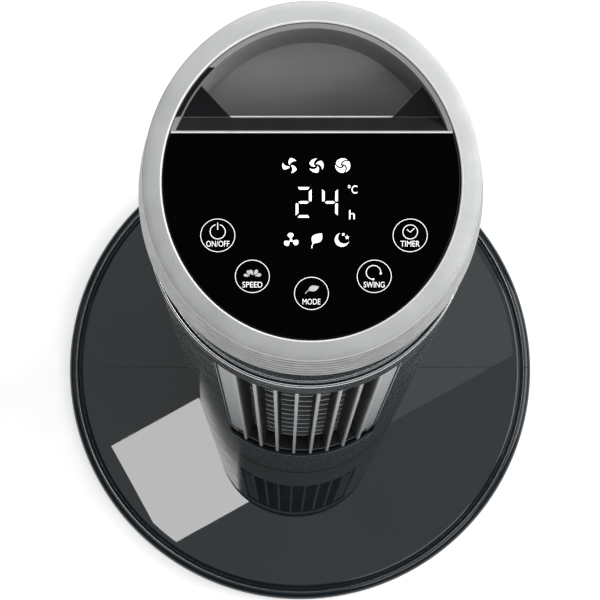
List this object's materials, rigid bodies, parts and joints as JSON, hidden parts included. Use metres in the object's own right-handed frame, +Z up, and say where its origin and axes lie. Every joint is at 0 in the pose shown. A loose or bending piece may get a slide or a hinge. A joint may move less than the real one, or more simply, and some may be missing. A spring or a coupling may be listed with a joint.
{
  "type": "tower fan",
  "caption": "Free-standing tower fan with a round base, a swinging tower with a slatted outlet, and a slanted touch panel head with a finger pocket.",
  "frame": {"origin": "on the tower's axis, at the floor under the rubber feet", "axes": "+Z up along the tower, the outlet faces -Y, +X to the right seen from the front"},
  "size_m": [0.3, 0.3, 0.8054],
  "materials": {
    "gloss_anthracite": "high gloss moulded",
    "collar_gloss": "high gloss moulded",
    "ring_metal": "satin turned",
    "panel_black": "polished sheet",
    "pocket_grey": "fine moulded",
    "inner_black": "moulded",
    "grille_silver": "satin",
    "duct_grey": "moulded",
    "rubber_black": "matte",
    "steel": "bright",
    "motor_zinc": "zinc plated",
    "bronze": "sintered",
    "nylon_white": "moulded",
    "board_green": "solder resist",
    "capacitor_black": "moulded"
  },
  "bodies": {
    "base": {"base_front_shell": "gloss_anthracite", "base_rear_shell": "gloss_anthracite", "swivel_pedestal": "inner_black", "base_nut": "inner_black", "base_screws": "steel", "rubber_feet": "rubber_black", "cord_gland": "rubber_black", "swivel_washer": "nylon_white", "swing_gear": "nylon_white", "gear_clip": "steel"},
    "tower": {"tower_foot": "inner_black", "swing_motor": "motor_zinc", "swing_motor_screws": "steel", "front_housing": "gloss_anthracite", "rear_housing": "gloss_anthracite", "housing_screws": "steel", "front_grille": "grille_silver", "intake_grille": "inner_black", "scroll_duct": "duct_grey", "vortex_tongue": "duct_grey", "motor_bracket": "inner_black", "motor_lower_shield": "motor_zinc", "motor_upper_shield": "motor_zinc", "stator_core": "steel", "stator_windings": "bronze", "motor_bushes": "bronze", "motor_mounts": "rubber_black", "motor_screws": "steel", "motor_capacitor": "capacitor_black", "power_board": "board_green", "bearing_bush": "bronze", "bearing_damper": "rubber_black", "bearing_plate": "inner_black", "wiring_loom": "rubber_black", "top_collar": "collar_gloss", "top_frame": "inner_black", "head_ring": "ring_metal", "handle_pocket": "pocket_grey", "control_panel": "panel_black", "control_board": "board_green", "display_module": "panel_black", "touch_springs": "bronze", "board_screws": "steel"},
    "impeller": {"motor_shaft": "steel", "rotor_core": "steel", "impeller_hub": "bronze", "hub_bush": "rubber_black", "hub_screw": "steel", "impeller": "duct_grey", "stub_shaft": "steel"},
    "pinion": {"swing_pinion": "nylon_white", "swing_shaft": "steel"}
  },
  "joints": [
    {"name": "swing", "type": "hinge", "parent": "base", "child": "tower", "pos_m": [0, 0, 0.0275], "axis": [0, 0, 1], "range_deg": [-37.5, 37.5]},
    {"name": "impeller_spin", "type": "hinge", "parent": "tower", "child": "impeller", "pos_m": [0, 0, 0.3], "axis": [0, 0, 1], "continuous": true},
    {"name": "pinion_spin", "type": "hinge", "parent": "tower", "child": "pinion", "pos_m": [0, 0.0405, 0.036], "axis": [0, 0, 1], "range_deg": [-76, 76]}
  ],
  "couplings": [
    {"joint": "pinion_spin", "follows": "swing", "ratio": 2}
  ]
}
